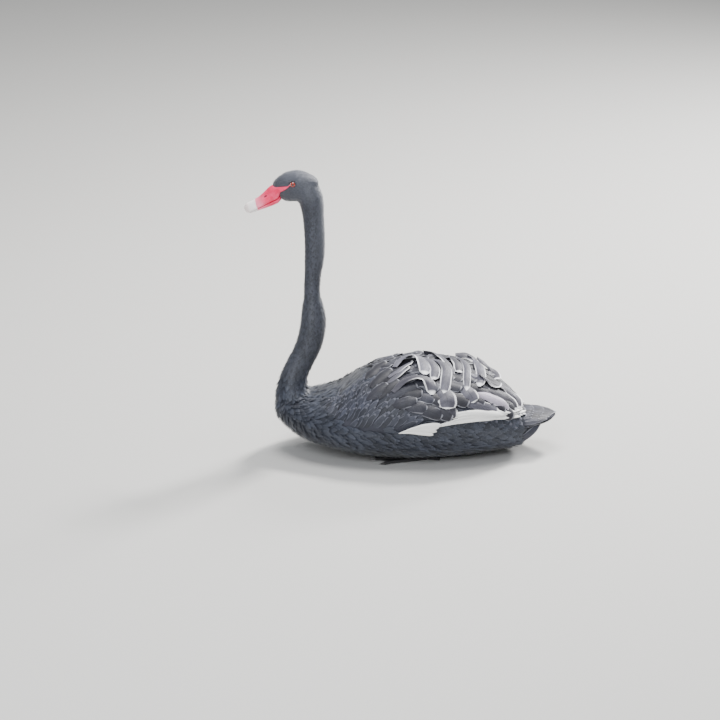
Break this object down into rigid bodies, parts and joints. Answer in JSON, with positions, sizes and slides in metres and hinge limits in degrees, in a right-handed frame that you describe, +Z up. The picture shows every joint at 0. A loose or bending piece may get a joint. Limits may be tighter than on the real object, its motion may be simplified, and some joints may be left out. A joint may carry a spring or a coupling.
{
  "type": "life-size black swan model",
  "caption": "Life-size black swan resting on its belly with its neck held high, curled back feathers, white flight feathers and a red bill.",
  "frame": {"origin": "on the floor under the middle of the belly's flat", "axes": "+Z up; +X towards the tail, so the bill points along -X; the bird's left side faces -Y"},
  "size_m": [0.6533, 0.288, 0.6138],
  "materials": {
    "plumage": "soft slate-black feathers with slightly paler edges",
    "curled_feather": "charcoal feathers with pale grey edges, curled at their ends",
    "white_feather": "white flight feathers",
    "bill": "smooth coral-red horn and bare skin",
    "pale_bill": "whitish front third of the bill with a pale pink nail",
    "eye": "wet, dark red-brown eye",
    "leg": "scaled, leathery, near-black skin",
    "claw": "black horn"
  },
  "bodies": {
    "root": {"bill_lower": "bill", "bill_tip": "pale_bill", "bill_upper": "bill", "claw_inner_left": "claw", "claw_inner_right": "claw", "claw_middle_left": "claw", "claw_middle_right": "claw", "claw_outer_left": "claw", "claw_outer_right": "claw", "eye_left": "eye", "eye_right": "eye", "flight_left": "white_feather", "flight_right": "white_feather", "head": "plumage", "leg_left": "leg", "leg_right": "leg", "neck_lower": "plumage", "neck_middle": "plumage", "neck_upper": "plumage", "plumes_left": "curled_feather", "plumes_right": "curled_feather", "tail": "plumage", "trunk": "plumage", "wing_left": "plumage", "wing_right": "plumage"}
  },
  "joints": []
}
